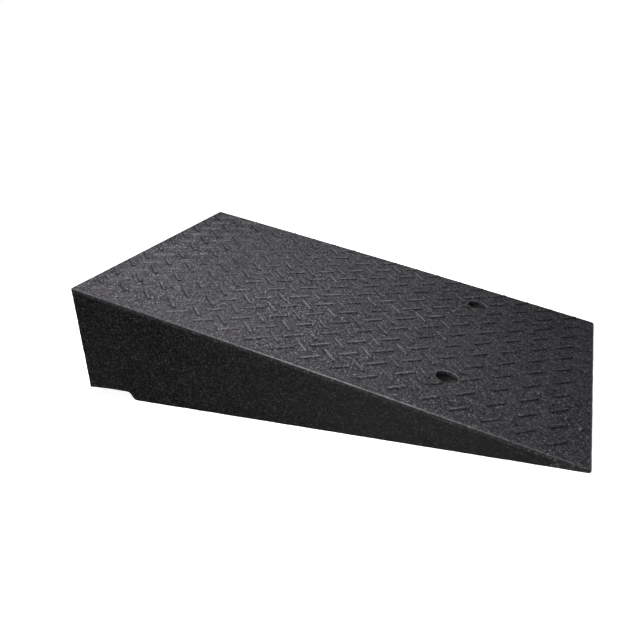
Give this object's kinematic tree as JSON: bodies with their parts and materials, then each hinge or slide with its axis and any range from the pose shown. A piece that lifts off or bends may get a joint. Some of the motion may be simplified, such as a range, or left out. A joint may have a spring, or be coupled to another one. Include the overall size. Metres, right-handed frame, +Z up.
{
  "type": "rubber kerb ramp",
  "caption": "Moulded rubber wedge ramp with a raised diamond tread on its deck, recessed fixing holes near the low edge and a drain relief under the high end.",
  "frame": {"origin": "centre of the base rectangle, on the ground", "axes": "+X down the slope towards the low edge, +Y across the ramp, +Z up"},
  "size_m": [0.79, 0.5, 0.1913],
  "materials": {
    "granulate_rubber": "coarse moulded rubber crumb, near black, matt with small dull glints",
    "tread_rubber": "dense vulcanised rubber, dark grey with a faint bloom, satin on the raised bars",
    "zinc_steel": "dull zinc plated steel, lightly stained"
  },
  "bodies": {
    "root": {"ramp_body": "granulate_rubber", "tread_skin": "tread_rubber", "bolt_sleeve_near": "zinc_steel", "bolt_sleeve_far": "zinc_steel", "seat_washer_near": "zinc_steel", "seat_washer_far": "zinc_steel"}
  },
  "joints": []
}
